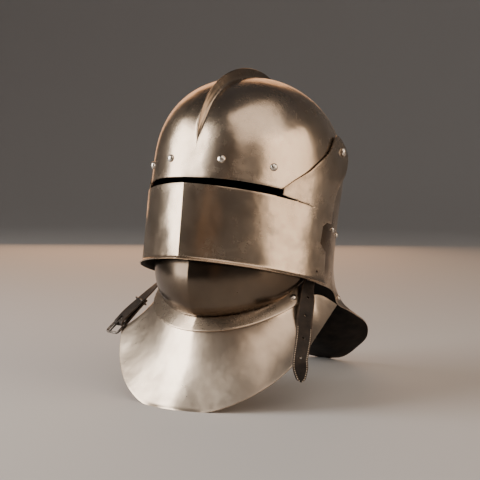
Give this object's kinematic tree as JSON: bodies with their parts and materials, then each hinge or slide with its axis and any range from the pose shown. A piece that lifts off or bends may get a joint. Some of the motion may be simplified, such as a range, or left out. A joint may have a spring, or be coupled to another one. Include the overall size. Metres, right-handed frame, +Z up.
{
  "type": "sallet",
  "caption": "Late medieval steel helmet with a low comb, flared neck guard and lifting visor, standing on its chin and throat defence with leather straps.",
  "frame": {"origin": "middle of the footprint box, on the surface that the assembly stands on", "axes": "+Z up, the face looks along -Y, +X to the wearer's left"},
  "size_m": [0.279, 0.382, 0.3787],
  "materials": {
    "skull_steel": "polished, hand planished",
    "visor_steel": "polished, hand planished",
    "bowl_steel": "polished, hand planished",
    "lame_steel": "polished, hand planished",
    "bib_steel": "polished, hand planished",
    "rivet_steel": "bright domed heads",
    "strap_leather": "dark oiled, stitched edges",
    "buckle_iron": "blackened, rubbed bright on the edges"
  },
  "bodies": {
    "helmet": {"bevor_bib": "bib_steel", "bevor_bowl": "bowl_steel", "brow_rivet_left_1": "rivet_steel", "brow_rivet_left_2": "rivet_steel", "brow_rivet_right_1": "rivet_steel", "brow_rivet_right_2": "rivet_steel", "buckle_frame": "buckle_iron", "buckle_keeper": "buckle_iron", "buckle_prong": "buckle_iron", "lame_rivet_left": "rivet_steel", "lame_rivet_right": "rivet_steel", "side_rivet_left_1": "rivet_steel", "side_rivet_left_2": "rivet_steel", "side_rivet_right_1": "rivet_steel", "side_rivet_right_2": "rivet_steel", "skull": "skull_steel", "strap_buckle": "strap_leather", "strap_tongue": "strap_leather", "tail_rivet_left": "rivet_steel", "tail_rivet_right": "rivet_steel", "throat_lame": "lame_steel", "visor_pivot_left": "rivet_steel", "visor_pivot_right": "rivet_steel"},
    "visor": {"visor": "visor_steel"}
  },
  "joints": [
    {"name": "visor_lift", "type": "hinge", "parent": "helmet", "child": "visor", "pos_m": [0.0085, 0.01264, 0.281], "axis": [-1, 0, 0], "range_deg": [0, 50]}
  ]
}
